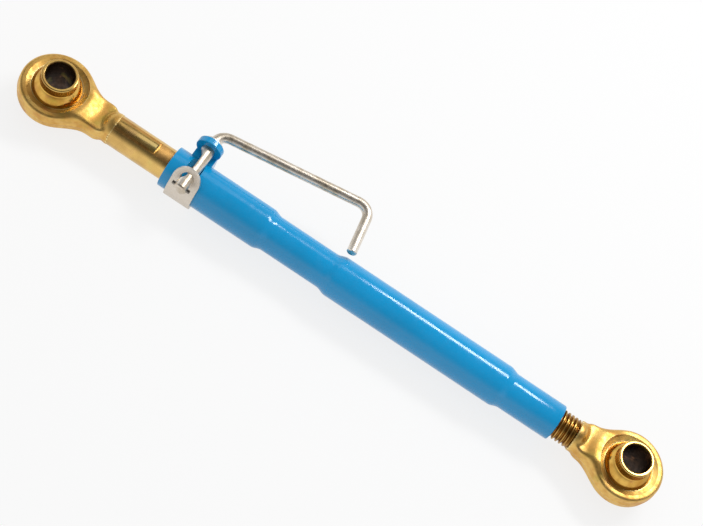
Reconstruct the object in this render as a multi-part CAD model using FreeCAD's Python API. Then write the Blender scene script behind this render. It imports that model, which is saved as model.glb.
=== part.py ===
"""Tractor top link, Category 2: a turnbuckle with two ball ends and a folding lock handle.

Millimetres. The origin is the centre of the tractor-end ball. +X runs along the link to the
implement end, +Z along the bores of the two balls, and the lock handle lies on the +Y side.
"""
import FreeCAD, Part
import math
import os

from FreeCAD import Vector

# ---- driving dimensions: balls and eyes -------------------------------------------------
ball_r = 23.0
ball_width = 51.0
ball_bore_r = 12.85         # takes a 25.4 mm Category 2 pin
collar_r = 16.4
collar_edge = 0.8
seat_clearance = 0.15
eye_wall = 9.85             # of the eye outside the ball's seat
eye_thickness = 17.0
eye_edge = 2.5
recess_width = 2.25         # outside the ball's seat
recess_depth = 2.0
web_half_width = 16.2
web_reach = 60.0            # from the ball centre to the square end of the web
web_neck = 18.0             # of the web's parallel neck
web_angle = 48.0            # degrees round the eye to where the web leaves it

# ---- driving dimensions: spindles -------------------------------------------------------
shank_r = 14.3
thread_step = 0.65          # of the thread's crest below the shank
thread_pitch = 25.4 / 7      # 1-1/8 inch, 7 threads to the inch
stop_turns = 4              # of the tube between this length and the shortest
shank_dome_start = 46.0
shank_dome_length = 13.0
flat_depth = 1.7
flat_shows = 13.0           # of the milled flat outside the tube
flat_runout_r = 4.0
exposed_thread = 17.0       # of the right spindle outside the tube
right_shoulder = 53.0       # from the right ball centre back to the thread's shoulder
right_dome_length = 13.0
shoulder_step = 1.15        # of the right shoulder above the thread
tip_gap = 37.0              # between the two spindles' inner ends
tip_chamfer = 2.0

# ---- driving dimensions: tube -----------------------------------------------------------
tube_start = 115.5          # from the left ball centre
tube_length = 394.5
tube_wall = 4.2
neck_wall = 2.85            # outside the thread's crest
middle_neck_start = 104.5   # from the tube's left end, where the swaged neck is full
middle_neck_length = 56.0
end_neck_length = 48.6
swage_length = 9.5
swage_bore_length = 3.0
housing_clearance = 0.5
thread_clearance = 0.1
chamber_step = 1.25         # of the chamber outside the threaded bores
mouth_chamfer = 1.2
left_edge_chamfer = 0.8

# ---- driving dimensions: lock -----------------------------------------------------------
lock_from_end = 21.0        # from the tube's left end to the axis of the lock shaft
lock_shaft_r = 6.0
lock_lift = 0.3             # between the shank's full round and the shaft
bearing_clearance = 0.12
slot_clearance = 1.1
boss_wall = 6.0
boss_thickness = 6.0
boss_stand_off = 2.7        # of the boss's front face outside the tube
boss_edge = 0.8
foot_half_width = 10.0
foot_low = -5.0
foot_into_ring = 4.0
foot_depth = 5.3            # of the foot inside the tube's back
shaft_front = 7.0           # of the shaft's domed end outside the tube
shaft_dome_edge = 2.0
shaft_collar_step = 3.5
shaft_collar_thickness = 2.0
shaft_end_play = 0.2
shaft_socket_depth = 7.0
socket_clearance = 0.05
relief_from = -17.5
relief_to = 20.5
relief_keeps = 7.0          # of the shaft's thickness beside the relief
relief_front_r = 8.0
relief_back_r = 15.0
pin_r = 1.6
pin_bore_r = 0.8
pin_fit = 0.02
pin_slit = 0.5
pin_stands = 2.5            # of each pin end outside the shaft
pin_inset = 3.6
strap_width = 25.0
strap_thickness = 3.0
strap_gap = 0.05
strap_ear_angle = 150.0     # where the straight ear leaves the round, from +Y
strap_ear_length = 21.8
strap_end_angle = 338.0

# ---- driving dimensions: handle ---------------------------------------------------------
bar_r = 4.5
arm_spread = 8.9            # degrees between the arm and the tube
arm_stand_off = 22.4        # of the first bend's corner outside the tube
arm_length = 143.5          # corner to corner
grip_length = 48.5
grip_splay = 8.2            # degrees of the grip away from square to the link
bend_r = 12.0
bar_chamfer = 0.8

# ---- driving dimensions: wiper ----------------------------------------------------------
wiper_inset = 5.0           # behind the tube's left end
wiper_width = 5.0
wiper_lip = 2.4             # of the wiper outside the housing's bore
wiper_clearance = 0.08
groove_clearance = 0.3

# ---- derived places ---------------------------------------------------------------------
eye_r = ball_r + seat_clearance + eye_wall
recess_r = ball_r + seat_clearance + recess_width
thread_r = shank_r - thread_step
flat_height = shank_r - flat_depth
housing_r = shank_r + housing_clearance
thread_bore_r = thread_r + thread_clearance
tube_r = housing_r + tube_wall
neck_r = thread_bore_r + neck_wall
chamber_r = thread_bore_r + chamber_step
wiper_r = housing_r + wiper_lip
tube_end = tube_start + tube_length
eye_to_eye = tube_end + exposed_thread + right_shoulder
travel_in = stop_turns * thread_pitch
neck_1 = tube_start + middle_neck_start
neck_2 = neck_1 + middle_neck_length
neck_3 = tube_end - end_neck_length
left_tip = (neck_2 + neck_3 - tip_gap) / 2
right_tip = left_tip + tip_gap
travel_out = left_tip - neck_2
smooth_end = neck_1 - travel_in - swage_bore_length
lock_x = tube_start + lock_from_end
lock_z = shank_r + lock_lift + lock_shaft_r
flat_start = tube_start - flat_shows
flat_end = lock_x + travel_out + lock_shaft_r + flat_runout_r
boss_r = lock_shaft_r + boss_wall
boss_front = tube_r + boss_stand_off
boss_back = boss_front + boss_thickness
collar_back = boss_back + shaft_end_play + shaft_collar_thickness
shaft_tip = -tube_r - shaft_front
AXIS_X = Vector(1, 0, 0)
AXIS_Y = Vector(0, 1, 0)
AXIS_Z = Vector(0, 0, 1)


def along_x(radius, start, end, y=0.0, z=0.0):
    """A round bar along X from start to end."""
    return Part.makeCylinder(radius, end - start, Vector(start, y, z), AXIS_X)


def along_y(radius, start, end, x=0.0, z=0.0):
    """A round bar along Y from start to end."""
    return Part.makeCylinder(radius, end - start, Vector(x, start, z), AXIS_Y)


def turned(points):
    """A solid of revolution about X from (x, radius) points that start and end on the axis."""
    corners = [Vector(x, r, 0) for x, r in points]
    wire = Part.makePolygon(corners + corners[:1])
    return Part.Face(wire).revolve(Vector(0, 0, 0), AXIS_X, 360)


def block(low, high):
    """A box between two corners."""
    return Part.makeBox(high[0] - low[0], high[1] - low[1], high[2] - low[2], Vector(*low))


def rim(solid, height):
    """The round edges of a solid of revolution about Z at one height."""
    return [e for e in solid.Edges if abs(e.BoundBox.ZMin - height) < 1e-6
            and abs(e.BoundBox.ZMax - height) < 1e-6]


def dome(start, length, radius, steps=7):
    """(x, radius) points of a half-ellipse dome that rises from the axis at start."""
    turns = [math.pi / 2 * n / steps for n in range(steps + 1)]
    return [(start + length * (1 - math.cos(a)), radius * math.sin(a)) for a in turns]


def eye_blank():
    """The forged eye at the origin with its web towards +X, before the seat is cut."""
    half = eye_thickness / 2
    disc = Part.makeCylinder(eye_r, eye_thickness, Vector(0, 0, -half), AXIS_Z)
    disc = disc.makeFillet(eye_edge, rim(disc, half) + rim(disc, -half))
    # the web's sides leave the eye and run into the parallel neck
    leave = math.radians(web_angle)
    side = [
        (0, eye_r * 0.8),
        (eye_r * math.cos(leave), eye_r * math.sin(leave)),
        (web_reach - web_neck, web_half_width),
        (web_reach, web_half_width),
    ]
    outline = [Vector(x, y, -half) for x, y in side]
    outline += [Vector(x, -y, -half) for x, y in reversed(side)]
    web = Part.Face(Part.makePolygon(outline + outline[:1])).extrude(AXIS_Z * eye_thickness)
    flanks = [e for e in web.Edges if e.BoundBox.ZLength < 1e-6
              and e.BoundBox.YMin * e.BoundBox.YMax > 0]
    return disc.fuse(web.makeChamfer(eye_edge, flanks))


def seated(blank):
    """The blank with its spherical seat and the recess round it on both faces."""
    half = eye_thickness / 2
    cut = Part.makeSphere(ball_r + seat_clearance)
    for low in (half - recess_depth, -half - recess_depth):
        cut = cut.fuse(Part.makeCylinder(recess_r, 2 * recess_depth, Vector(0, 0, low), AXIS_Z))
    return blank.cut(cut)


def left_rod_end():
    """Tractor end: eye, smooth shank with its milled flat, left-hand threaded spindle."""
    shank = turned(dome(shank_dome_start, shank_dome_length, shank_r) + [
        (smooth_end, shank_r),
        (smooth_end + thread_step, thread_r),
        (left_tip - tip_chamfer, thread_r),
        (left_tip, thread_r - tip_chamfer),
        (left_tip, 0),
    ])
    flat = block((flat_start, -shank_r, flat_height), (flat_end, shank_r, shank_r + 1))
    runout = along_y(flat_runout_r, -shank_r, shank_r, flat_start, flat_height + flat_runout_r)
    shank = shank.cut(flat.fuse(runout))
    return seated(eye_blank().fuse(shank))


def right_rod_end():
    """Implement end: eye and right-hand threaded spindle, turned to point back along -X."""
    reach = eye_to_eye - right_tip
    shoulder_r = thread_r + shoulder_step
    spindle = turned(dome(right_shoulder - right_dome_length, right_dome_length, shoulder_r) + [
        (right_shoulder, thread_r),
        (reach - tip_chamfer, thread_r),
        (reach, thread_r - tip_chamfer),
        (reach, 0),
    ])
    beyond = block((right_shoulder, -eye_r, -eye_thickness), (2 * web_reach, eye_r, eye_thickness))
    end = seated(eye_blank().cut(beyond).fuse(spindle))
    end.rotate(Vector(0, 0, 0), AXIS_Z, 180)
    end.translate(Vector(eye_to_eye, 0, 0))
    return end


def ball(x):
    """A swivel ball with its two bored collars."""
    half = ball_width / 2
    collar = Part.makeCylinder(collar_r, ball_width, Vector(0, 0, -half), AXIS_Z)
    collar = collar.makeFillet(collar_edge, rim(collar, half) + rim(collar, -half))
    body = Part.makeSphere(ball_r).fuse(collar)
    body = body.cut(Part.makeCylinder(ball_bore_r, ball_width + 2, Vector(0, 0, -half - 1), AXIS_Z))
    body.translate(Vector(x, 0, 0))
    return body


def swage(x, towards):
    """(x, radius) points of one swage from the tube down to a neck that starts at x."""
    drop = tube_r - neck_r
    shape = ((1.0, 0.0), (0.6, 0.3), (0.2, 0.88), (0.0, 1.0))
    return [(x + towards * swage_length * back, tube_r - drop * share) for back, share in shape]


def tube():
    """The swaged tube, bored for both spindles, with the lock slot and the wiper's groove."""
    outside = turned(
        [(tube_start, 0), (tube_start, tube_r - left_edge_chamfer)]
        + [(tube_start + left_edge_chamfer, tube_r)]
        + swage(neck_1, -1) + swage(neck_2, 1)[::-1] + swage(neck_3, -1)
        + [(tube_end - mouth_chamfer, neck_r), (tube_end, neck_r - mouth_chamfer), (tube_end, 0)]
    )
    inside = turned([
        (tube_start - 1, 0),
        (tube_start - 1, housing_r),
        (neck_1 - swage_bore_length, housing_r),
        (neck_1, thread_bore_r),
        (neck_2, thread_bore_r),
        (neck_2 + swage_bore_length, chamber_r),
        (neck_3 - swage_bore_length, chamber_r),
        (neck_3, thread_bore_r),
        (tube_end - mouth_chamfer, thread_bore_r),
        (tube_end, thread_bore_r + mouth_chamfer),
        (tube_end + 1, thread_bore_r + mouth_chamfer),
        (tube_end + 1, 0),
    ])
    groove_low = tube_start + wiper_inset - groove_clearance
    groove_high = tube_start + wiper_inset + wiper_width + groove_clearance
    groove = along_x(wiper_r + groove_clearance, groove_low, groove_high)
    slot = along_y(lock_shaft_r + slot_clearance, -tube_r - 2, tube_r + 2, lock_x, lock_z)
    return outside.cut(inside.fuse(groove)).cut(slot)


def pivot_boss():
    """The eye that carries the lock shaft, with its foot coped to the tube."""
    ring = along_y(boss_r, boss_front, boss_back, lock_x, lock_z)
    ring = ring.makeFillet(boss_edge, [e for e in ring.Edges if e.BoundBox.YLength < 1e-6])
    foot = block(
        (lock_x - foot_half_width, tube_r - foot_depth, foot_low),
        (lock_x + foot_half_width, boss_back - boss_edge, lock_z - boss_r + foot_into_ring),
    )
    face = along_x(tube_r + strap_gap, lock_x - boss_r, lock_x + boss_r)
    swing = along_y(boss_r - foot_into_ring + boss_edge, 0, boss_front, lock_x, lock_z)
    bore = along_y(lock_shaft_r + bearing_clearance, 0, boss_back + 2, lock_x, lock_z)
    return ring.fuse(foot.cut(face).cut(swing)).cut(bore)


def relief_cut():
    """The cutter for the long relief in the lock shaft's side, as a prism along Z."""
    depth = 2 * lock_shaft_r - relief_keeps
    bottom = lock_x - lock_shaft_r + depth
    outer = lock_x - lock_shaft_r
    front_run = math.sqrt(relief_front_r ** 2 - (relief_front_r - depth) ** 2)
    back_run = math.sqrt(relief_back_r ** 2 - (relief_back_r - depth) ** 2)
    low, high = lock_z - 10, lock_z + 10

    def runout(start, run, radius, towards):
        """The arc from the relief's floor out to the shaft's side."""
        centre_x = bottom - radius
        half = math.asin(run / radius) / 2
        mid = Vector(centre_x + radius * math.cos(half), start + towards * radius * math.sin(half), low)
        return Part.Arc(
            Vector(bottom, start, low), mid, Vector(outer, start + towards * run, low)
        ).toShape()

    floor_front = relief_from + front_run
    floor_back = relief_to - back_run
    edges = [
        Part.makeLine(Vector(bottom, floor_front, low), Vector(bottom, floor_back, low)),
        runout(floor_back, back_run, relief_back_r, 1),
        Part.makeLine(Vector(outer, relief_to, low), Vector(outer - 2, relief_to, low)),
        Part.makeLine(Vector(outer - 2, relief_to, low), Vector(outer - 2, relief_from, low)),
        Part.makeLine(Vector(outer - 2, relief_from, low), Vector(outer, relief_from, low)),
        runout(floor_front, front_run, relief_front_r, -1),
    ]
    outline = Part.Wire(Part.__sortEdges__(edges))
    return Part.Face(outline).extrude(Vector(0, 0, high - low))


def lock_shaft():
    """The lock shaft: domed front end, long relief, rear collar and the bar's socket."""
    body = along_y(lock_shaft_r, shaft_tip, collar_back, lock_x, lock_z)
    tip_edge = [e for e in body.Edges if abs(e.BoundBox.YMax - shaft_tip) < 1e-6]
    body = body.makeFillet(shaft_dome_edge, tip_edge)
    collar_r = lock_shaft_r + shaft_collar_step
    collar = along_y(collar_r, boss_back + shaft_end_play, collar_back, lock_x, lock_z)
    socket_end = collar_back - shaft_socket_depth
    socket = along_y(bar_r + socket_clearance, socket_end, collar_back + 1, lock_x, lock_z)
    pin_hole = along_x(pin_r + pin_fit, lock_x - 2 * lock_shaft_r, lock_x + 2 * lock_shaft_r,
                       shaft_tip + pin_inset, lock_z)
    return body.fuse(collar).cut(socket).cut(relief_cut()).cut(pin_hole)


def shaft_pin():
    """The rolled spring pin across the front end of the lock shaft."""
    y = shaft_tip + pin_inset
    reach = lock_shaft_r + pin_stands
    pin = along_x(pin_r, lock_x - reach, lock_x + reach, y, lock_z)
    bore = along_x(pin_bore_r, lock_x - 2 * reach, lock_x + 2 * reach, y, lock_z)
    slit = block(
        (lock_x - 2 * reach, y - pin_slit / 2, lock_z),
        (lock_x + 2 * reach, y + pin_slit / 2, lock_z + 2 * pin_r),
    )
    return pin.cut(bore.fuse(slit))


def lock_strap():
    """The zinc-plated strap: a windowed ear that carries the shaft's front end, then a hook
    round the underside of the tube."""
    inner = tube_r + strap_gap
    outer = inner + strap_thickness
    start = math.radians(strap_ear_angle)
    stop = math.radians(strap_end_angle)

    def ring_point(radius, angle):
        return Vector(lock_x - strap_width / 2, radius * math.cos(angle), radius * math.sin(angle))

    up = Vector(0, math.sin(start), -math.cos(start))
    middle = (start + stop) / 2
    edges = [
        Part.Arc(ring_point(outer, start), ring_point(outer, middle), ring_point(outer, stop)).toShape(),
        Part.makeLine(ring_point(outer, stop), ring_point(inner, stop)),
        Part.Arc(ring_point(inner, stop), ring_point(inner, middle), ring_point(inner, start)).toShape(),
        Part.makeLine(ring_point(inner, start), ring_point(inner, start) + up * strap_ear_length),
        Part.makeLine(
            ring_point(inner, start) + up * strap_ear_length,
            ring_point(outer, start) + up * strap_ear_length,
        ),
        Part.makeLine(ring_point(outer, start) + up * strap_ear_length, ring_point(outer, start)),
    ]
    band = Part.Face(Part.Wire(Part.__sortEdges__(edges))).extrude(AXIS_X * strap_width)
    # the ear's top is a half round, square to the ear
    normal = Vector(0, math.cos(start), math.sin(start))
    half = strap_width / 2
    centre = Vector(lock_x, 0, 0) + normal * (inner - 5) + up * (strap_ear_length - half)
    top = Part.makeCylinder(half, strap_thickness + 10, centre, normal)
    band = band.cut(ear_top(centre, normal, up, half).cut(top))
    window = along_y(lock_shaft_r + bearing_clearance, 2 * shaft_tip, 0, lock_x, lock_z)
    return band.cut(window)


def ear_top(centre, normal, up, half):
    """A prism square to the ear that covers everything above the centre of its round top."""
    corners = [
        centre + AXIS_X * (half + 1),
        centre + AXIS_X * (half + 1) + up * (half + 1),
        centre - AXIS_X * (half + 1) + up * (half + 1),
        centre - AXIS_X * (half + 1),
    ]
    return Part.Face(Part.makePolygon(corners + corners[:1])).extrude(normal * (strap_thickness + 10))


def handle_path():
    """The bar's corners, from the bottom of its socket to the end of the grip."""
    spread = math.radians(arm_spread)
    splay = math.radians(grip_splay)
    first = Vector(lock_x, tube_r + arm_stand_off, lock_z)
    second = first + Vector(math.cos(spread), math.sin(spread), 0) * arm_length
    return [
        Vector(lock_x, collar_back - shaft_socket_depth + shaft_end_play, lock_z),
        first,
        second,
        second + Vector(math.sin(splay), -math.cos(splay), 0) * grip_length,
    ]


def bent_wire(points, radius):
    """Straight runs joined by tangent arcs of one radius."""
    edges = []
    here = points[0]
    for before, corner, after in zip(points, points[1:], points[2:]):
        come = (corner - before).normalize()
        go = (after - corner).normalize()
        turn = come.getAngle(go)
        reach = radius * math.tan(turn / 2)
        first = corner - come * reach
        last = corner + go * reach
        inward = (go - come).normalize()
        centre = corner + inward * (radius / math.cos(turn / 2))
        edges.append(Part.makeLine(here, first))
        edges.append(Part.Arc(first, centre - inward * radius, last).toShape())
        here = last
    edges.append(Part.makeLine(here, points[-1]))
    return Part.Wire(edges)


def lock_handle():
    """The bent handle bar, with the rim of its free end chamfered."""
    path = bent_wire(handle_path(), bend_r)
    start = handle_path()[0]
    section = Part.Wire(Part.makeCircle(bar_r, start, AXIS_Y))
    bar = path.makePipeShell([section], True, False)
    free = handle_path()[-1]
    rims = [e for e in bar.Edges if len(e.Vertexes) == 1
            and e.CenterOfMass.distanceToPoint(free) < 0.1]
    return bar.makeChamfer(bar_chamfer, rims)


def spindle_wiper():
    """The wiper ring in the tube's mouth; its D-shaped bore is keyed on the shank's flat."""
    low = tube_start + wiper_inset
    ring = along_x(wiper_r, low, low + wiper_width)
    bore = along_x(shank_r + wiper_clearance, low - 1, low + wiper_width + 1)
    land = block(
        (low - 2, -shank_r, flat_height + wiper_clearance),
        (low + wiper_width + 2, shank_r, shank_r + 2),
    )
    return ring.cut(bore.cut(land))


def solid_of(shape):
    """The single valid solid that a node must be."""
    solids = shape.removeSplitter().Solids
    if len(solids) != 1 or not solids[0].isValid():
        raise ValueError(f"expected one valid solid, got {len(solids)}")
    return solids[0]


def main():
    nodes = {
        "left_rod_end": left_rod_end(),
        "right_rod_end": right_rod_end(),
        "left_ball": ball(0.0),
        "right_ball": ball(eye_to_eye),
        "adjusting_tube": tube(),
        "pivot_boss": pivot_boss(),
        "lock_shaft": lock_shaft(),
        "shaft_pin": shaft_pin(),
        "lock_strap": lock_strap(),
        "lock_handle": lock_handle(),
        "spindle_wiper": spindle_wiper(),
    }
    os.makedirs("parts", exist_ok=True)
    for name, shape in nodes.items():
        solid = solid_of(shape)
        solid.exportStep(f"parts/{name}.step")
        box = solid.BoundBox
        print(f"{name:16s} {solid.Volume / 1000:8.2f} cm3  x {box.XMin:.1f}..{box.XMax:.1f}"
              f"  y {box.YMin:.1f}..{box.YMax:.1f}  z {box.ZMin:.1f}..{box.ZMax:.1f}")


main()
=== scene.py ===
"""Looks of a tractor top link: two forged ball ends, a swaged adjusting tube and its lock.

Sizes are in millimetres in the classes and in metres in the meshes. The link lies along X
with the tractor ball at the origin.
"""

from __future__ import annotations

import logging
import math
from dataclasses import dataclass
from enum import Enum
from typing import Callable, Iterable

import bmesh
import bpy
import numpy as np
from mathutils import Matrix, Vector


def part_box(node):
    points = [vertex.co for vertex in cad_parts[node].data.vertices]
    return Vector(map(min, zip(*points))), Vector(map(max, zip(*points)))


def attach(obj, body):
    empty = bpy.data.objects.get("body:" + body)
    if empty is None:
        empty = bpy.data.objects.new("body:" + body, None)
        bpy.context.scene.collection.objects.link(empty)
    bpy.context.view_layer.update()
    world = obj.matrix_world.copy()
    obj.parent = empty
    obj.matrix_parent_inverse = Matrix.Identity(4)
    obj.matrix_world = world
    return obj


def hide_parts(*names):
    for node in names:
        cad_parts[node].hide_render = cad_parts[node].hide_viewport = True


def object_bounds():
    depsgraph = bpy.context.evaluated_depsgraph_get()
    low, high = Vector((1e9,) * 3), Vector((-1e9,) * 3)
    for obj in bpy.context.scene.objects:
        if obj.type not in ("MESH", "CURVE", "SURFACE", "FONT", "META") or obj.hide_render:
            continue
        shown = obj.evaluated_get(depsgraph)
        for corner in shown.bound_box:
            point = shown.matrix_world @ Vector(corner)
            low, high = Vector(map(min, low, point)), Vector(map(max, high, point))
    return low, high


MM = 0.001
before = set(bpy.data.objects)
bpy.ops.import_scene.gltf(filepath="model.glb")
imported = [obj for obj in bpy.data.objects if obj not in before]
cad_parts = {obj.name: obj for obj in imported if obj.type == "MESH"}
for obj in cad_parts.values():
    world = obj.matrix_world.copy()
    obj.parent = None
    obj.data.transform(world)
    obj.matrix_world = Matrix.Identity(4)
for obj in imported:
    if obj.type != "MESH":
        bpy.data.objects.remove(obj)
cad_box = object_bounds()
log = logging.getLogger("top_link")

Profile = list[tuple[float, float]]
Materials = dict[str, bpy.types.Material]
LOW, HIGH = 0, 1
X, Z = 0, 2


def side(node: str, end: int, axis: int) -> float:
    """Where one side of a CAD node's box stands, in millimetres."""
    return round(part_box(node)[end][axis] / MM, 2)


def middle(node: str, axis: int) -> float:
    """The middle of a CAD node's box along one axis, in millimetres."""
    # a round's flat facets can put its box a hundredth off, so this goes to the nearest tenth
    return round((side(node, LOW, axis) + side(node, HIGH, axis)) / 2, 1)


class Hand(Enum):
    """Which way a screw thread winds."""

    LEFT = -1
    RIGHT = 1


class Axis(Enum):
    """The axis that a turned piece is turned about."""

    LENGTH = "X"
    CROSS = "Y"
    PIN = "Z"


# ---- colour and node helpers --------------------------------------------------------------


def linear(code: str) -> tuple[float, float, float, float]:
    """The linear colour of an sRGB hex code.

    Args:
        code: Six hex digits after a hash mark.

    Returns:
        Red, green, blue and alpha for a shader socket.
    """
    parts = [int(code[i:i + 2], 16) / 255 for i in (1, 3, 5)]
    low_high = [c / 12.92 if c <= 0.04045 else ((c + 0.055) / 1.055) ** 2.4 for c in parts]
    return (*low_high, 1.0)


def add_node(
    tree: bpy.types.NodeTree, kind: str, settings: dict | None = None, sockets: dict | None = None
) -> bpy.types.Node:
    """Adds a shader node, with its settings made and its sockets filled or linked.

    Args:
        tree: The node tree that the node joins.
        kind: The node's type name.
        settings: Property names and values.
        sockets: Input names or numbers, each with a value or with another node's output.

    Returns:
        The new node.
    """
    node = tree.nodes.new(kind)
    for name, value in (settings or {}).items():
        setattr(node, name, value)
    for name, value in (sockets or {}).items():
        if isinstance(value, bpy.types.NodeSocket):
            tree.links.new(value, node.inputs[name])
        else:
            node.inputs[name].default_value = value
    return node


def per_metre(size_mm: float) -> float:
    """How many features of one size fit in a metre, for a texture's scale."""
    return 1 / (size_mm * MM)


# ---- finishes -----------------------------------------------------------------------------


@dataclass(frozen=True)
class Finish:
    """A surface finish: what every finish of the link shares."""

    name: str
    base: str
    dark: str
    pale: str
    roughness: float
    patch_mm: float = 14.0
    grit_mm: float = 0.9
    grit_height_mm: float = 0.03

    def begin(self) -> tuple[bpy.types.NodeTree, bpy.types.Node, bpy.types.NodeSocket]:
        """Makes the material and its shader.

        Returns:
            The node tree, its Principled shader and the object's own coordinates.
        """
        material = bpy.data.materials.new(self.name)
        material.use_nodes = True
        tree = material.node_tree
        tree.nodes.clear()
        shader = add_node(tree, "ShaderNodeBsdfPrincipled")
        add_node(tree, "ShaderNodeOutputMaterial", sockets={"Surface": shader.outputs[0]})
        place = add_node(tree, "ShaderNodeTexCoord").outputs["Object"]
        return tree, shader, place

    def noise(
        self, tree: bpy.types.NodeTree, place: bpy.types.NodeSocket, size_mm: float,
        detail: float = 3.0,
    ) -> bpy.types.NodeSocket:
        """A cloudy 0 to 1 value.

        Args:
            tree: The material's nodes.
            place: The coordinates that it is read at.
            size_mm: How far across its patches are.
            detail: How many finer layers it has.

        Returns:
            The value.
        """
        settings = {"noise_dimensions": "3D"}
        sockets = {"Vector": place, "Scale": per_metre(size_mm), "Detail": detail}
        return add_node(tree, "ShaderNodeTexNoise", settings, sockets).outputs["Fac"]

    def spread(
        self, tree: bpy.types.NodeTree, value: bpy.types.NodeSocket, low: float, high: float,
        to_low: float = 0.0, to_high: float = 1.0,
    ) -> bpy.types.NodeSocket:
        """One range of a value spread smoothly onto another.

        Args:
            tree: The material's nodes.
            value: What is spread.
            low: Where the range starts.
            high: Where it ends.
            to_low: What its start becomes.
            to_high: What its end becomes.

        Returns:
            The new value.
        """
        settings = {"interpolation_type": "SMOOTHSTEP"}
        sockets = {
            "Value": value, "From Min": low, "From Max": high, "To Min": to_low, "To Max": to_high,
        }
        return add_node(tree, "ShaderNodeMapRange", settings, sockets).outputs["Result"]

    def blend(
        self, tree: bpy.types.NodeTree, share: bpy.types.NodeSocket | float,
        first: bpy.types.NodeSocket | str, second: bpy.types.NodeSocket | str,
    ) -> bpy.types.NodeSocket:
        """A mix of two colours, each a hex code or another colour output.

        Args:
            tree: The material's nodes.
            share: How much of the second colour there is, from 0 to 1.
            first: The colour at 0.
            second: The colour at 1.

        Returns:
            The mixed colour.
        """
        colours = [linear(c) if isinstance(c, str) else c for c in (first, second)]
        sockets = {0: share, 6: colours[0], 7: colours[1]}
        return add_node(tree, "ShaderNodeMix", {"data_type": "RGBA"}, sockets).outputs[2]

    def relief(
        self, tree: bpy.types.NodeTree, shader: bpy.types.Node, height: bpy.types.NodeSocket,
        depth_mm: float, under: bpy.types.NodeSocket | None = None,
    ) -> bpy.types.NodeSocket:
        """Gives the shader a bump of a real depth, on top of another bump if there is one.

        Args:
            tree: The material's nodes.
            shader: The shader whose surface it is.
            height: The bump's height, from 0 to 1.
            depth_mm: What a height of 1 is.
            under: The bump below this one.

        Returns:
            The bumped normal.
        """
        sockets = {"Height": height, "Strength": 1.0, "Distance": depth_mm * MM}
        if under is not None:
            sockets["Normal"] = under
        bump = add_node(tree, "ShaderNodeBump", sockets=sockets).outputs["Normal"]
        tree.links.new(bump, shader.inputs["Normal"])
        return bump

    def edges(
        self, tree: bpy.types.NodeTree, low: float = 0.51, high: float = 0.58
    ) -> bpy.types.NodeSocket:
        """0 on flats and 1 on outer edges, for a pale painted highlight there."""
        point = add_node(tree, "ShaderNodeNewGeometry").outputs["Pointiness"]
        return self.spread(tree, point, low, high)

    def make(self) -> bpy.types.Material:
        """Builds the material of a plain plated metal.

        Returns:
            The finished material.
        """
        tree, shader, place = self.begin()
        patches = self.spread(tree, self.noise(tree, place, self.patch_mm), 0.35, 0.68)
        colour = self.blend(tree, patches, self.base, self.dark)
        # painted highlight: outer edges are blended towards the pale colour, as if catching the
        # light
        colour = self.blend(tree, self.edges(tree), colour, self.pale)
        tree.links.new(colour, shader.inputs["Base Color"])
        shader.inputs["Metallic"].default_value = 1.0
        rough = self.spread(
            tree, self.noise(tree, place, self.patch_mm / 3), 0.3, 0.7,
            self.roughness - 0.06, self.roughness + 0.08,
        )
        tree.links.new(rough, shader.inputs["Roughness"])
        self.relief(tree, shader, self.noise(tree, place, self.grit_mm), self.grit_height_mm)
        return bpy.data.materials[self.name]


@dataclass(frozen=True)
class YellowZinc(Finish):
    """Yellow-passivated zinc plate: gold that drifts to rose and olive in thin rainbow clouds."""

    rose: str = "#cf8f5e"
    olive: str = "#b5ab4c"
    tint_mm: float = 9.0
    marks_mm: float = 0.0
    marks_depth_mm: float = 0.006

    def make(self) -> bpy.types.Material:
        """Builds the plated steel: clouds of colour, a fine skin and, if turned, tool lines.

        Returns:
            The finished material.
        """
        tree, shader, place = self.begin()
        patches = self.spread(tree, self.noise(tree, place, self.patch_mm), 0.36, 0.66)
        colour = self.blend(tree, patches, self.base, self.dark)
        rose = self.spread(tree, self.noise(tree, place, self.tint_mm), 0.56, 0.74, 0.0, 0.45)
        colour = self.blend(tree, rose, colour, self.rose)
        wide = self.noise(tree, place, self.tint_mm * 1.7, 2.0)
        olive = self.spread(tree, wide, 0.55, 0.72, 0.0, 0.4)
        colour = self.blend(tree, olive, colour, self.olive)
        # painted highlight: outer edges are blended towards the pale colour, as if catching the
        # light
        colour = self.blend(tree, self.edges(tree), colour, self.pale)
        tree.links.new(colour, shader.inputs["Base Color"])
        shader.inputs["Metallic"].default_value = 1.0
        rough = self.spread(
            tree, self.noise(tree, place, self.patch_mm / 4), 0.3, 0.7,
            self.roughness - 0.05, self.roughness + 0.09,
        )
        tree.links.new(rough, shader.inputs["Roughness"])
        skin = self.relief(tree, shader, self.noise(tree, place, self.grit_mm), self.grit_height_mm)
        if self.marks_mm:
            settings = {"wave_type": "BANDS", "bands_direction": "X"}
            # a wave texture has about 20 bands to one unit of its scale
            bands = per_metre(self.marks_mm) / 20
            sockets = {"Vector": place, "Scale": bands, "Distortion": 0.4}
            lines = add_node(tree, "ShaderNodeTexWave", settings, sockets).outputs["Fac"]
            self.relief(tree, shader, lines, self.marks_depth_mm, skin)
        return bpy.data.materials[self.name]


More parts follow.
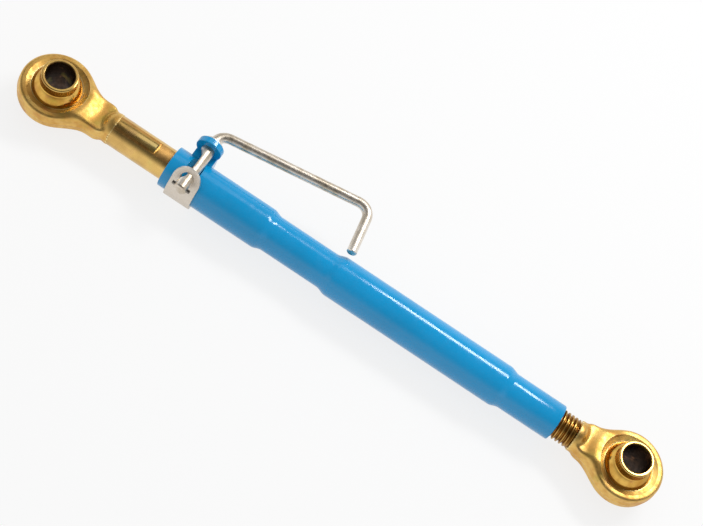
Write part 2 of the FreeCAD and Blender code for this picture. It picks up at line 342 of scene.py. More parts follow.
@dataclass(frozen=True)
class GlossEnamel(Finish):
    """Sprayed gloss enamel on steel tube: an even colour, a slight orange peel, sharp glints."""

    peel_mm: float = 2.6
    peel_height_mm: float = 0.012
    coat: float = 0.15
    sheen_mm: float = 6.0
    dust_mm: float = 1.2

    def make(self) -> bpy.types.Material:
        """Builds the enamel: one even colour that drifts a little, with a few pale specks.

        Returns:
            The finished material.
        """
        tree, shader, place = self.begin()
        drift = self.spread(tree, self.noise(tree, place, self.patch_mm), 0.35, 0.7)
        colour = self.blend(tree, drift, self.base, self.dark)
        dust = self.spread(tree, self.noise(tree, place, self.dust_mm), 0.7, 0.78, 0.0, 0.25)
        colour = self.blend(tree, dust, colour, self.pale)
        tree.links.new(colour, shader.inputs["Base Color"])
        shader.inputs["IOR"].default_value = 1.5
        shader.inputs["Coat Weight"].default_value = self.coat
        shader.inputs["Coat Roughness"].default_value = 0.06
        rough = self.spread(
            tree, self.noise(tree, place, self.sheen_mm), 0.3, 0.7,
            self.roughness - 0.04, self.roughness + 0.06,
        )
        tree.links.new(rough, shader.inputs["Roughness"])
        self.relief(tree, shader, self.noise(tree, place, self.peel_mm, 1.0), self.peel_height_mm)
        return bpy.data.materials[self.name]


@dataclass(frozen=True)
class MouldedRubber(Finish):
    """Moulded nitrile rubber: nearly black, matt, with a faint grain."""

    def make(self) -> bpy.types.Material:
        """Builds the rubber, dustier in patches.

        Returns:
            The finished material.
        """
        tree, shader, place = self.begin()
        dust = self.spread(tree, self.noise(tree, place, self.patch_mm), 0.45, 0.75, 0.0, 0.5)
        tree.links.new(self.blend(tree, dust, self.base, self.pale), shader.inputs["Base Color"])
        shader.inputs["Roughness"].default_value = self.roughness
        shader.inputs["IOR"].default_value = 1.52
        self.relief(tree, shader, self.noise(tree, place, self.grit_mm), self.grit_height_mm)
        return bpy.data.materials[self.name]


# Drop-forged steel, shot-blasted, then yellow zinc plated: a soft gold with a fine orange skin.
FORGED_ZINC = YellowZinc(
    "forged_yellow_zinc", "#e6bd6c", "#d2a052", "#f8e4a6", 0.4, grit_mm=1.3, grit_height_mm=0.05
)
# Turned steel, yellow zinc plated: brighter and tighter, with faint tool lines across its length.
TURNED_ZINC = YellowZinc(
    "turned_yellow_zinc", "#dcaa52", "#c08c3c", "#f4e2a0", 0.2, patch_mm=22.0, grit_mm=0.7,
    grit_height_mm=0.008, marks_mm=0.5,
)
# Case-hardened ball, yellow zinc plated: a deeper, slicker gold.
BALL_ZINC = YellowZinc(
    "ball_yellow_zinc", "#dfb35a", "#c08c3c", "#f4e0a0", 0.16, grit_mm=0.8, grit_height_mm=0.01
)
# The bore's wall in painted shade: a dark brown, dull finish.
BORE_PAINTED_SHADE = YellowZinc(
    "painted_shade_in_bore", "#4a2f16", "#2c1a0d", "#6b4a25", 0.5, grit_mm=0.8, grit_height_mm=0.01
)
# Milled face: a flat, slightly browner plate with cutter lines.
MILLED_ZINC = YellowZinc(
    "milled_yellow_zinc", "#c9924a", "#a87434", "#e8c888", 0.33, grit_mm=0.5, grit_height_mm=0.01,
    marks_mm=0.8,
)
# Rolled thread: plated, in a darker and cloudier gold than the shank.
THREAD_ZINC = YellowZinc(
    "rolled_thread_zinc", "#b78a40", "#8a5f26", "#e3bf72", 0.34, patch_mm=8.0, grit_mm=0.6,
    grit_height_mm=0.012,
)
# Gloss sky-blue enamel over the drawn tube and its welded boss.
TUBE_ENAMEL = GlossEnamel("sky_blue_enamel", "#0f9ad6", "#0e93cc", "#3fb3e4", 0.16, patch_mm=60.0)
# Bright zinc plate on drawn bar: near-neutral silver with a warm cast.
BAR_ZINC = Finish(
    "bright_zinc_bar", "#e2d8cb", "#c2b49f", "#f6f0e6", 0.38, patch_mm=9.0, grit_mm=0.6,
    grit_height_mm=0.008,
)
# Dull zinc plate on pressed strip: greyer, cloudier, with a painted highlight along its cut edges.
STRAP_ZINC = Finish(
    "dull_zinc_strip", "#a89d90", "#6f655a", "#ddd3c6", 0.45, patch_mm=4.0, grit_mm=0.8,
    grit_height_mm=0.02,
)
# Oiled spring steel: dark and slick.
SPRING_STEEL = Finish("oiled_spring_steel", "#5a5550", "#3c3834", "#8a847c", 0.3, patch_mm=3.0)
# Moulded nitrile rubber: nearly black and matt.
WIPER_RUBBER = MouldedRubber("nitrile_rubber", "#151515", "#101010", "#3a3733", 0.7, patch_mm=4.0)


# ---- mesh helpers -------------------------------------------------------------------------


def finish_mesh(name: str, mesh: bpy.types.Mesh, crease: float = 32.0) -> bpy.types.Object:
    """Turns a mesh into a smooth-shaded object whose sharp edges stay crisp.

    Args:
        name: The piece's name.
        mesh: The mesh, in metres.
        crease: Degrees between faces above which an edge stays sharp.

    Returns:
        The new object, linked into the scene.
    """
    mesh.polygons.foreach_set("use_smooth", [True] * len(mesh.polygons))
    mesh.set_sharp_from_angle(angle=math.radians(crease))
    mesh.name = name
    thing = bpy.data.objects.new(name, mesh)
    bpy.context.scene.collection.objects.link(thing)
    return thing


def mesh_of(points: Iterable[Iterable[float]], faces: Iterable[Iterable[int]]) -> bpy.types.Mesh:
    """A mesh with its faces turned outward.

    Args:
        points: The corners, in millimetres.
        faces: Each face's corners, by number.

    Returns:
        The mesh, in metres.
    """
    mesh = bpy.data.meshes.new("work")
    mesh.from_pydata([[c * MM for c in p] for p in points], [], [list(f) for f in faces])
    work = bmesh.new()
    work.from_mesh(mesh)
    bmesh.ops.remove_doubles(work, verts=work.verts, dist=1e-6)
    bmesh.ops.recalc_face_normals(work, faces=work.faces)
    work.to_mesh(mesh)
    work.free()
    return mesh


def lathe(
    profile: Profile, axis: Axis = Axis.LENGTH, segments: int = 96, closed: bool = False,
    wobble: Callable[[float, float], float] | None = None,
) -> bpy.types.Mesh:
    """A turned mesh from a profile of (place along the axis, radius) points.

    Args:
        profile: The points, in millimetres; a radius of 0 closes the end.
        axis: The axis that it is turned about.
        segments: Sides of the round.
        closed: Whether the last point joins the first, as in a ring.
        wobble: Added radius at (place, angle), for marks cut in the round.

    Returns:
        The mesh.
    """
    order = {Axis.LENGTH: (0, 1, 2), Axis.CROSS: (1, 2, 0), Axis.PIN: (2, 0, 1)}[axis]
    points, faces = [], []
    for along, radius in profile:
        for n in range(segments):
            angle = math.tau * n / segments
            r = radius + (wobble(along, angle) if wobble and radius else 0.0)
            corner = [0.0, 0.0, 0.0]
            corner[order[0]] = along
            corner[order[1]] = r * math.cos(angle)
            corner[order[2]] = r * math.sin(angle)
            points.append(corner)
    rows = len(profile)
    # a radius of 0 puts a whole row on one point, which mesh_of merges
    for row in range(rows if closed else rows - 1):
        here, there = row * segments, (row + 1) % rows * segments
        for n in range(segments):
            m = (n + 1) % segments
            faces.append((here + n, here + m, there + m, there + n))
    return mesh_of(points, faces)


def arc(
    centre: tuple[float, float], radius: float, start: float, stop: float, steps: int = 6
) -> Profile:
    """Points round part of a circle, from one angle in degrees to another."""
    turns = [math.radians(start + (stop - start) * n / steps) for n in range(steps + 1)]
    return [(centre[0] + radius * math.cos(a), centre[1] + radius * math.sin(a)) for a in turns]


def ease(start: tuple[float, float], stop: tuple[float, float], steps: int = 10) -> Profile:
    """A smooth S-shaped run between two profile points.

    Args:
        start: The first point.
        stop: The last point.
        steps: How many straight parts it has.

    Returns:
        The points, both ends included.
    """
    shares = [n / steps for n in range(steps + 1)]
    return [
        (start[0] + (stop[0] - start[0]) * t, start[1] + (stop[1] - start[1]) * t * t * (3 - 2 * t))
        for t in shares
    ]


def carve(thing: bpy.types.Object, cutter: bpy.types.Mesh, crease: float = 32.0) -> None:
    """Cuts one mesh out of a piece and clears the cutter away.

    Args:
        thing: The piece that is cut.
        cutter: The space that is taken out of it.
        crease: Degrees between faces above which an edge stays sharp.
    """
    tool = bpy.data.objects.new("cutter", cutter)
    bpy.context.scene.collection.objects.link(tool)
    change = thing.modifiers.new("cut", "BOOLEAN")
    change.object = tool
    change.operation = "DIFFERENCE"
    change.solver = "EXACT"
    seen = thing.evaluated_get(bpy.context.evaluated_depsgraph_get())
    cut = bpy.data.meshes.new_from_object(seen)
    thing.modifiers.clear()
    old = thing.data
    thing.data = cut
    bpy.data.meshes.remove(old)
    bpy.data.objects.remove(tool)
    bpy.data.meshes.remove(cutter)
    cut.polygons.foreach_set("use_smooth", [True] * len(cut.polygons))
    cut.set_sharp_from_angle(angle=math.radians(crease))


def dress(thing: bpy.types.Object, material: bpy.types.Material) -> None:
    """Gives a piece one material all over."""
    thing.data.materials.clear()
    thing.data.materials.append(material)


def moved(mesh: bpy.types.Mesh, x: float = 0.0, y: float = 0.0, z: float = 0.0) -> bpy.types.Mesh:
    """The same mesh, shifted by millimetres."""
    mesh.transform(Matrix.Translation(Vector((x, y, z)) * MM))
    return mesh


# ---- rounded forgings ---------------------------------------------------------------------


def blended(first: np.ndarray, second: np.ndarray, radius: float) -> np.ndarray:
    """The union of two distance fields with a fillet where they meet.

    Args:
        first: One field.
        second: The other.
        radius: About how wide the fillet is, in millimetres.

    Returns:
        The joined field.
    """
    share = np.clip(0.5 + 0.5 * (second - first) / radius, 0, 1)
    return second + (first - second) * share - radius * share * (1 - share)


def skin_of(
    shape: Callable[[np.ndarray], np.ndarray], low: tuple, high: tuple, step: float
) -> bpy.types.Mesh:
    """A mesh of quads on the surface where a distance field is zero.

    Args:
        shape: Gives the signed distance of each of a row of points, negative inside.
        low: The lowest corner of the space looked at, in millimetres.
        high: Its highest corner.
        step: The size of a cell.

    Returns:
        The mesh, its corners pulled exactly onto the surface.
    """
    counts = [int(math.ceil((b - a) / step)) + 1 for a, b in zip(low, high)]
    lines = [a + step * np.arange(n) for a, n in zip(low, counts)]
    grid = np.stack(np.meshgrid(*lines, indexing="ij"), axis=-1)
    values = shape(grid.reshape(-1, 3)).reshape(counts)
    inside = values < 0
    cells = tuple(n - 1 for n in counts)
    total = np.zeros(cells)
    for corner in np.ndindex(2, 2, 2):
        total += inside[tuple(slice(c, c + n) for c, n in zip(corner, cells))]
    mixed = (total > 0) & (total < 8)
    index = np.full(cells, -1)
    index[mixed] = np.arange(mixed.sum())
    points = np.argwhere(mixed) * step + np.array(low) + step / 2
    # each corner is walked down the field's slope until it lies on the surface
    nudge, rounds, least = 0.02, 4, 0.2
    for _ in range(rounds):
        here = shape(points)
        slopes = [(shape(points + nudge * axis) - here) / nudge for axis in np.eye(3)]
        slope = np.stack(slopes, axis=-1)
        points = points - slope * (here / np.maximum((slope ** 2).sum(-1), least))[:, None]
    faces = []
    for axis in range(3):
        others = [a for a in range(3) if a != axis]
        first = [slice(1, n - 1) for n in counts]
        first[axis] = slice(0, counts[axis] - 1)
        second = list(first)
        second[axis] = slice(1, counts[axis])
        change = inside[tuple(first)] != inside[tuple(second)]
        spots = np.argwhere(change) + 1
        spots[:, axis] -= 1
        ring = []
        for back in ((0, 0), (1, 0), (1, 1), (0, 1)):
            cell = spots.copy()
            cell[:, others[0]] -= back[0]
            cell[:, others[1]] -= back[1]
            ring.append(index[tuple(cell.T)])
        faces.extend(np.stack(ring, axis=-1).tolist())
    return mesh_of(points.tolist(), faces)


def stadium(
    across: np.ndarray, up: np.ndarray, half: float, thick: float, edge: float
) -> np.ndarray:
    """Distance to a plate with rounded edges.

    Args:
        across: How far each point lies from the plate's spine, seen from above.
        up: How high it lies.
        half: Half the plate's width.
        thick: Half its thickness.
        edge: The radius of its edges.

    Returns:
        The signed distances, negative inside.
    """
    out = across - half + edge
    over = np.abs(up) - thick + edge
    inner = np.minimum(np.maximum(out, over), 0)
    return inner + np.hypot(np.maximum(out, 0), np.maximum(over, 0)) - edge


@dataclass
class BallEnd:
    """A forged eye with its web, its spindle and the ball staked into it."""

    name: str
    ball_name: str
    body: str
    ball_body: str
    centre: float
    facing: int
    spindle: Profile
    nose: float
    root: float
    root_r: float
    web_end: float
    eye_r: float = 32.6
    thick: float = 8.5
    edge: float = 2.6
    waist: float = 16.1
    ball_r: float = 23.0
    web_spine: float = 6.0
    web_fillet: float = 13.0
    draft: float = 0.05
    flash: float = 0.35
    recess_r: float = 25.4
    seat_gap: float = 0.15
    collar_r: float = 16.4
    bore_r: float = 12.85
    ball_half: float = 25.5
    marks: int = 48
    mark_depth: float = 0.22
    step: float = 1.0
    thread: tuple[float, float, float, Hand] = (0.0, 0.0, 0.0, Hand.RIGHT)
    pitch: float = 25.4 / 7
    runout_r: float = 4.0
    flat: tuple[float, float, float] | None = None

    def forging(self, points: np.ndarray) -> np.ndarray:
        """Distance to the forging, its eye at the origin and its web towards +X.

        Args:
            points: Rows of three coordinates, in millimetres.

        Returns:
            Their signed distances, negative inside.
        """
        x, y, z = points[:, 0], points[:, 1], points[:, 2]
        # forging draft: the sides lean in a little from the parting line
        lean = np.abs(z) * self.draft
        disc = stadium(np.hypot(x, y) + lean, z, self.eye_r, self.thick, self.edge)
        spine = self.web_spine
        end = np.maximum(x - (self.web_end - self.waist + spine), 0.0)
        across = np.hypot(np.maximum(np.abs(y) - spine, 0.0), end) + spine + lean
        plate = stadium(across, z, self.waist, self.thick, self.edge)
        plate = np.maximum(plate, -x)
        body = blended(disc, plate, self.web_fillet)
        # the round root of the spindle grows out of the web as a dome
        nose = np.minimum(x - self.root, 0.0) * self.root_r / (self.root - self.nose)
        dome = np.sqrt(nose ** 2 + y ** 2 + z ** 2) - self.root_r
        dome = np.maximum(dome, x - (self.root + 1.5))
        body = blended(body, dome, 2.4)
        # a thin trimmed parting line runs round the forging
        return body - self.flash * np.exp(-(z / 0.7) ** 2)

    def seat_cutter(self) -> bpy.types.Mesh:
        """The space inside the eye: the dished lip that holds the ball, and the ball's seat.

        Returns:
            The cutter, standing at the origin.
        """
        outer = self.recess_r
        fit = self.ball_r + self.seat_gap
        top = self.thick - 1.25
        lip = math.sqrt(fit ** 2 - top ** 2)
        face = self.thick
        half: Profile = [(face + 8, 0.0), (face + 8, outer + 1.9), (face + 0.1, outer + 1.9)]
        half += [(face - 0.12, outer + 1.1), (face - 0.36, outer + 0.3)]
        half += [(face - 0.62, outer - 0.7), (face - 0.9, outer - 1.9), (top + 0.2, lip + 0.9)]
        bands = 8
        seat = [top * (1 - n / bands) for n in range(bands + 1)]
        half += [(z, math.sqrt(fit ** 2 - z ** 2)) for z in seat]
        return lathe(half + [(-z, r) for z, r in reversed(half[:-1])], Axis.PIN, 128)

    def make_eye(self) -> bpy.types.Object:
        """Builds the forging with its seat cut, standing in its place along the link.

        Returns:
            The forging's object.
        """
        # the space looked at stands a little clear of the forging all round
        low = (-self.eye_r - 2, -self.eye_r - 2, -self.root_r - 3)
        high = (self.root + 5, self.eye_r + 2, self.root_r + 3)
        eye = finish_mesh(self.name, skin_of(self.forging, low, high, self.step))
        carve(eye, self.seat_cutter())
        if self.facing < 0:
            eye.data.transform(Matrix.Rotation(math.pi, 4, "Z"))
        moved(eye.data, self.centre)
        return eye

    def make_spindle(self) -> bpy.types.Object:
        """Builds the turned shank and its thread.

        Returns:
            The spindle's object, not yet joined to anything.
        """
        bar = finish_mesh(self.name + "_spindle", lathe(self.spindle, segments=96))
        if self.flat:
            start, stop, height = self.flat
            reach = self.root_r + 2
            runout = self.runout_r
            outline: Profile = [(stop, height), (start, height)]
            outline += arc((start, height + runout), runout, 270, 200, 6)
            outline += [(start - runout, reach), (stop, reach)]
            corners = [(x, -reach, z) for x, z in outline] + [(x, reach, z) for x, z in outline]
            count = len(outline)
            faces = [tuple(range(count)), tuple(range(2 * count - 1, count - 1, -1))]
            for n in range(count):
                after = (n + 1) % count
                faces.append((n, after, after + count, n + count))
            carve(bar, mesh_of(corners, faces))
        return bar

    def dress_parts(
        self, thing: bpy.types.Object, first: bpy.types.Material, second: bpy.types.Material,
        chosen: Callable[[bpy.types.MeshPolygon], bool],
    ) -> None:
        """Gives a piece one material, and the chosen faces another.

        Args:
            thing: The piece.
            first: Its material.
            second: The chosen faces' material.
            chosen: Says whether a face is one of them.
        """
        dress(thing, first)
        thing.data.materials.append(second)
        for face in thing.data.polygons:
            face.material_index = int(chosen(face))

    def make_thread(self) -> bpy.types.Mesh:
        """A helical thread between two places, dying out at its ends.

        Returns:
            The thread's skin, in its place along the link.
        """
        start, stop, crest, hand = self.thread
        depth = 0.58 * self.pitch
        segments = 64
        turns = int((stop - start) / self.pitch)
        # the thread's form: (share of the pitch, share of the depth)
        across = ((0.0, 1.0), (0.12, 1.0), (0.44, 0.0), (0.56, 0.0), (0.88, 1.0))
        points, faces = [], []
        rows = len(across)
        for n in range(turns * segments + 1):
            angle = math.tau * n / segments
            along = start + self.pitch * n / segments
            fade = min(1.0, n / segments / 1.2, (turns * segments - n) / segments / 1.2)
            for share, height in across:
                radius = crest - depth * (1 - height) * fade
                points.append((along + share * self.pitch, radius * math.cos(angle),
                               hand.value * radius * math.sin(angle)))
        for n in range(turns * segments):
            for row in range(rows - 1):
                a, b = n * rows + row, (n + 1) * rows + row
                faces.append((a, a + 1, b + 1, b))
            # the last crest meets the first of the next turn
            if n + segments <= turns * segments:
                a, b = n * rows + rows - 1, (n + segments) * rows
                whole = n + segments < turns * segments
                faces.append((a, b, b + rows, a + rows) if whole else (a, b, a + rows))
        return mesh_of(points, faces)

    def make_ball(self) -> bpy.types.Object:
        """Builds the ball with its bored collars and the tool marks round them.

        Returns:
            The ball's object.
        """
        half, collar, bore, edge = self.ball_half, self.collar_r - 0.4, self.bore_r - 0.3, 1.0
        meet = math.sqrt(self.ball_r ** 2 - (collar + 0.8) ** 2)
        outside = [(self.ball_r * math.sin(a), self.ball_r * math.cos(a))
                   for a in np.linspace(0, math.asin(meet / self.ball_r), 14)]
        outside += [(meet + 0.5, collar + 0.25), (meet + 1.2, collar), (meet + 2.2, collar)]
        outside += [(z, collar) for z in np.linspace(meet + 2.6, half - 1.7, 4)]
        outside += arc((half - edge, collar - edge), edge, 0, 90, 4)[::-1]
        inside: Profile = [(half, bore + 0.7), (half - 0.25, bore + 0.2), (half - 0.8, bore)]
        inside += [(0.0, bore)]
        profile = outside + inside
        profile = profile + [(-z, r) for z, r in reversed(profile[1:-1])]

        def marks(along: float, angle: float) -> float:
            """How far the fine pressed marks sink into the collar's wall."""
            band = meet + 2.4 < abs(along) < half - 1.5
            return -self.mark_depth * max(0.0, math.cos(angle * self.marks)) if band else 0.0

        turned = lathe(profile, Axis.PIN, 192, closed=True, wobble=marks)
        ball = finish_mesh(self.ball_name, turned, 40)
        moved(ball.data, self.centre)
        return ball

    def build(self, finishes: Materials) -> None:
        """Builds, dresses and places every piece of this end.

        Args:
            finishes: The finished materials, by slot.
        """
        eye = self.make_eye()
        dress(eye, finishes["forging_zinc"])
        bar = self.make_spindle()
        level = (self.flat[2] if self.flat else 99.0) * MM
        self.dress_parts(bar, finishes["shank_zinc"], finishes["milled_zinc"],
                         lambda face: face.normal.z > 0.9999
                         or (face.normal.z > 0.6 and len(face.vertices) > 4
                             and abs(face.center.z - level) < 0.9 * MM))
        screw = finish_mesh(self.name + "_thread", self.make_thread(), 20)
        dress(screw, finishes["thread_zinc"])
        for piece in (eye, bar, screw):
            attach(piece, self.body)
            log.info("%s: %d faces", piece.name, len(piece.data.polygons))
        eye.name = self.name + "_eye"
        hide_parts(self.name)
        ball = self.make_ball()
        # painted shade: the faces inside the collar's bore take the dark brown finish
        wall, pin_x = (self.bore_r + 0.2) * MM, self.centre * MM
        self.dress_parts(ball, finishes["ball_zinc"], finishes["bore_painted_shade"],
                         lambda face: math.hypot(face.center.x - pin_x, face.center.y) < wall)
        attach(ball, self.ball_body)
        ball.name = self.ball_name + "_race"
        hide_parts(self.ball_name)
        log.info("%s: %d faces", ball.name, len(ball.data.polygons))


@dataclass
class AdjustingTube:
    """The swaged, enamelled tube with its lock slot."""

    start: float
    end: float
    outer: float
    neck: float
    housing: float
    bore: float
    chamber: float
    necks: tuple[float, float, float]
    slot_x: float
    slot_z: float
    groove: tuple[float, float, float]
    swage: float = 9.5
    slot_r: float = 7.1

    def outline(self) -> Profile:
        """The tube's section: outside from left to right, then the bores back again.

        Returns:
            The section's corners.
        """
        one, two, three = self.necks
        low, high = self.outer, self.neck
        out: Profile = arc((self.start + 0.8, low - 0.8), 0.8, 180, 90, 4)
        out += ease((one - self.swage, low), (one, high))
        out += ease((two, high), (two + self.swage, low))
        out += ease((three - self.swage, low), (three, high))
        out += [(self.end - 1.2, high), (self.end - 0.4, high - 0.4), (self.end, high - 1.2)]
        lip = self.bore + 1.2
        inner: Profile = [(self.end, lip), (self.end - 1.2, self.bore), (three, self.bore)]
        inner += [(three - 3, self.chamber), (two + 3, self.chamber), (two, self.bore)]
        inner += [(one, self.bore)]
        first, last, deep = self.groove
        inner += [(one - 3, self.housing), (last, self.housing), (last, deep), (first, deep)]
        inner += [(first, self.housing), (self.start + 0.4, self.housing)]
        inner += [(self.start, self.housing + 0.4)]
        return out + inner

    def build(self, finishes: Materials) -> None:
        """Builds the tube, cuts its slot and puts it on its body.

        Args:
            finishes: The finished materials, by slot.
        """
        turned = lathe(self.outline(), segments=128, closed=True)
        tube = finish_mesh("adjusting_tube_sprayed", turned, 30)
        reach = self.outer + 3
        drill = [(-reach, 0), (-reach, self.slot_r), (reach, self.slot_r), (reach, 0)]
        slot = lathe(drill, Axis.CROSS, 64)
        carve(tube, moved(slot, self.slot_x, 0, self.slot_z))
        dress(tube, finishes["tube_enamel"])
        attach(tube, "tube")
        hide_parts("adjusting_tube")
        log.info("%s: %d faces", tube.name, len(tube.data.polygons))


@dataclass
class Studio:
    """The plain floor, the soft lights, the pale surroundings and the camera."""

    floor_z: float
    middle: tuple[float, float, float] = (290.0, 14.6, 8.4)
    slope: float = 33.6
    elevation: float = 60.0
    distance: float = 1.6
    lens: float = 96.5
    key_watts: float = 14.0
    fill_watts: float = 1.6
    lamp_way: tuple[float, float, float] = (0.0, 0.571, 0.821)
    lamp_distance: float = 1.6
    ambient: float = 0.6
    overhead: float = 0.12
    floor_glow: float = 0.8
    floor_half: float = 4000.0

    def build_floor(self) -> None:
        """Lays a pale floor that keeps the link's soft shadow."""
        half = self.floor_half
        corners = [(-half, -half, self.floor_z), (half, -half, self.floor_z),
                   (half, half, self.floor_z), (-half, half, self.floor_z)]
        floor = finish_mesh("floor", mesh_of(corners, [(0, 1, 2, 3)]))
        material = bpy.data.materials.new("pale_floor")
        material.use_nodes = True
        tree = material.node_tree
        tree.nodes.clear()
        path = add_node(tree, "ShaderNodeLightPath").outputs
        seen = add_node(tree, "ShaderNodeMath", {"operation": "MAXIMUM"},
                        {0: path["Is Camera Ray"], 1: path["Is Glossy Ray"]}).outputs[0]
        seen = add_node(tree, "ShaderNodeMath", {"operation": "MAXIMUM"},
                        {0: seen, 1: path["Is Transmission Ray"]}).outputs[0]
        share = add_node(tree, "ShaderNodeMath", {"operation": "MULTIPLY"},
                         {0: seen, 1: self.floor_glow}).outputs[0]
        matt = add_node(tree, "ShaderNodeBsdfDiffuse", sockets={"Color": linear("#e9e9e9")})
        white = add_node(tree, "ShaderNodeEmission",
                         sockets={"Color": linear("#ffffff"), "Strength": 1.0})
        mix = add_node(tree, "ShaderNodeMixShader",
                       sockets={0: share, 1: matt.outputs[0], 2: white.outputs[0]})
        add_node(tree, "ShaderNodeOutputMaterial", sockets={"Surface": mix.outputs[0]})
        dress(floor, material)

    def build_world(self) -> None:
        """Makes surroundings that are white to the eye and dim overhead in reflections."""
        world = bpy.data.worlds.new("studio")
        bpy.context.scene.world = world
        world.use_nodes = True
        tree = world.node_tree
        tree.nodes.clear()
        way = add_node(tree, "ShaderNodeTexCoord").outputs["Generated"]
        up = add_node(tree, "ShaderNodeSeparateXYZ", sockets={0: way}).outputs["Z"]
        dome = add_node(
            tree, "ShaderNodeMapRange", {"interpolation_type": "SMOOTHSTEP"},
            {"Value": up, "From Min": 0.1, "From Max": 0.75, "To Min": 1.0,
             "To Max": self.overhead},
        ).outputs["Result"]
        path = add_node(tree, "ShaderNodeLightPath").outputs
        soft = add_node(tree, "ShaderNodeMix", {"data_type": "FLOAT"},
                        {0: path["Is Glossy Ray"], 2: self.ambient, 3: dome}).outputs[0]
        seen = add_node(tree, "ShaderNodeMath", {"operation": "MAXIMUM"},
                        {0: path["Is Camera Ray"], 1: path["Is Transmission Ray"]}).outputs[0]
        level = add_node(tree, "ShaderNodeMix", {"data_type": "FLOAT"},
                         {0: seen, 2: soft, 3: 1.0}).outputs[0]
        sky = add_node(tree, "ShaderNodeBackground",
                       sockets={"Color": linear("#ffffff"), "Strength": level})
        add_node(tree, "ShaderNodeOutputWorld", sockets={"Surface": sky.outputs[0]})

    def add_lamp(
        self, name: str, place: Vector, aim: Vector, size: tuple[float, float], watts: float
    ) -> None:
        """Hangs a rectangular soft lamp that faces a point.

        Args:
            name: The lamp's name.
            place: Where it hangs, in metres.
            aim: What it faces.
            size: Its width and height.
            watts: Its power.
        """
        data = bpy.data.lights.new(name, "AREA")
        data.shape = "RECTANGLE"
        data.size, data.size_y = size
        data.energy = watts
        lamp = bpy.data.objects.new(name, data)
        bpy.context.scene.collection.objects.link(lamp)
        turn = (aim - place).to_track_quat("-Z", "Y")
        lamp.matrix_world = Matrix.Translation(place) @ turn.to_matrix().to_4x4()

    def build_camera(self) -> None:
        """Stands the camera over the link, rolled so that the link runs down to the right."""
        tilt = math.radians(self.elevation)
        roll = math.radians(self.slope)
        ahead = Vector((0, math.cos(tilt), -math.sin(tilt)))
        above = Vector((0, math.sin(tilt), math.cos(tilt)))
        right = Vector((1, 0, 0)) * math.cos(roll) + above * math.sin(roll)
        up = above * math.cos(roll) - Vector((1, 0, 0)) * math.sin(roll)
        spot = Vector(self.middle) * MM - ahead * self.distance
        data = bpy.data.cameras.new("camera")
        data.lens = self.lens
        data.sensor_width = 36.0
        data.clip_start = 0.05
        camera = bpy.data.objects.new("camera", data)
        bpy.context.scene.collection.objects.link(camera)
        rows = Matrix((right, up, -ahead)).transposed().to_4x4()
        camera.matrix_world = Matrix.Translation(spot) @ rows
        bpy.context.scene.camera = camera

    def build(self) -> None:
        """Sets up the floor, the surroundings, the lamps and the camera."""
        self.build_floor()
        self.build_world()
        behind = Vector(self.lamp_way) * self.lamp_distance
        self.add_lamp("key", behind + Vector((0.7, 0, 0)), Vector((0.42, 0, 0)), (0.85, 0.32),
                      self.key_watts)
        self.add_lamp("back_soft", behind + Vector((-0.25, 0, 0)), Vector((0.1, 0, 0)),
                      (0.95, 0.75), self.fill_watts)
        self.build_camera()
        bpy.context.scene.view_settings.view_transform = "Standard"


def dress_cad_nodes(finishes: Materials) -> None:
    """Gives every CAD node that stays in view its finish.

    Args:
        finishes: The finished materials, by slot.
    """
    wanted = {
        "pivot_boss": "tube_enamel",
        "lock_shaft": "bar_zinc",
        "lock_handle": "bar_zinc",
        "lock_strap": "strap_zinc",
        "shaft_pin": "spring_steel",
        "spindle_wiper": "wiper_rubber",
    }
    for node, finish in wanted.items():
        dress(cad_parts[node], finishes[finish])
        log.info("%s: %s", node, finish)


def tractor_end() -> BallEnd:
    """The ball end on the tractor: a smooth shank with a milled flat, then a left-hand thread.

    Returns:
        The ball end, ready to build.
    """
    centre = middle("left_ball", X)
    tip = side("left_rod_end", HIGH, X)
    smooth_end = centre + 202.5
    shank_r, core_r, thread_r = 14.3, 11.5, 13.65
    return BallEnd(
        name="left_rod_end", ball_name="left_ball", body="left_rod_end", ball_body="left_ball",
        centre=centre, facing=1, nose=47.0, root=59.0, root_r=14.6, web_end=57.0,
        flat=(centre + 102.5, centre + 222.0, 12.6),
        spindle=[(centre + 55.0, 0), (centre + 55.0, 13.0), (centre + 59.0, 13.9),
                 (centre + 60.0, shank_r), (smooth_end, shank_r), (smooth_end + 2.5, core_r),
                 (tip - 1, core_r), (tip, core_r - 1), (tip, 0)],
        thread=(smooth_end + 1, tip - 5, thread_r, Hand.LEFT),
    )


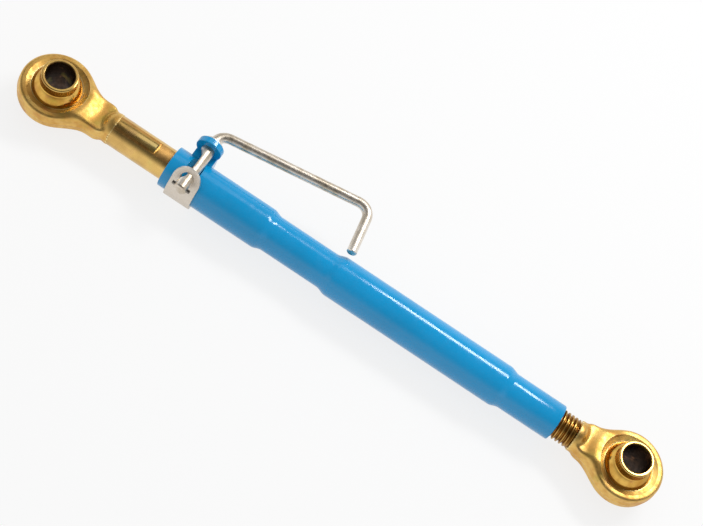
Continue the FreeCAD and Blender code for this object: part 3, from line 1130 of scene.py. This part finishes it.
def implement_end() -> BallEnd:
    """The ball end on the implement: a right-hand thread straight from its shoulder.

    Returns:
        The ball end, ready to build.
    """
    centre = middle("right_ball", X)
    tip = side("right_rod_end", LOW, X)
    core_r, thread_r = 11.5, 13.65
    return BallEnd(
        name="right_rod_end", ball_name="right_ball", body="right_rod_end", ball_body="right_ball",
        centre=centre, facing=-1, nose=40.0, root=50.0, root_r=14.4, web_end=50.0,
        spindle=[(centre - 44.0, 0), (centre - 44.0, 11.0), (centre - 50.0, 13.4),
                 (centre - 51.5, 13.0), (centre - 53.0, core_r), (tip + 1, core_r),
                 (tip, core_r - 1), (tip, 0)],
        thread=(tip + 1, centre - 53.0, thread_r, Hand.RIGHT),
    )


def adjusting_tube() -> AdjustingTube:
    """The tube between the ends, its groove round the wiper and its slot round the lock shaft.

    Returns:
        The tube, ready to build.
    """
    start, end = side("adjusting_tube", LOW, X), side("adjusting_tube", HIGH, X)
    room = 0.3
    groove = (round(side("spindle_wiper", LOW, X) - room, 2),
              round(side("spindle_wiper", HIGH, X) + room, 2), 17.5)
    return AdjustingTube(
        start=start, end=end, outer=19.0, neck=16.6, housing=14.8, bore=13.75, chamber=15.0,
        necks=(start + 104.5, start + 160.5, round(end - 48.6, 2)),
        slot_x=middle("lock_shaft", X), slot_z=middle("lock_shaft", Z), groove=groove,
    )


def main() -> None:
    """Builds the link's pieces in order, then the studio."""
    logging.basicConfig(level=logging.INFO)
    finishes = {
        "forging_zinc": FORGED_ZINC.make(),
        "shank_zinc": TURNED_ZINC.make(),
        "milled_zinc": MILLED_ZINC.make(),
        "thread_zinc": THREAD_ZINC.make(),
        "ball_zinc": BALL_ZINC.make(),
        "bore_painted_shade": BORE_PAINTED_SHADE.make(),
        "tube_enamel": TUBE_ENAMEL.make(),
        "bar_zinc": BAR_ZINC.make(),
        "strap_zinc": STRAP_ZINC.make(),
        "spring_steel": SPRING_STEEL.make(),
        "wiper_rubber": WIPER_RUBBER.make(),
    }
    tractor_end().build(finishes)
    implement_end().build(finishes)
    adjusting_tube().build(finishes)
    dress_cad_nodes(finishes)
    floor_gap = 0.1
    Studio(floor_z=round(cad_box[LOW][Z] / MM - floor_gap, 2)).build()


if __name__ == "__main__":
    main()
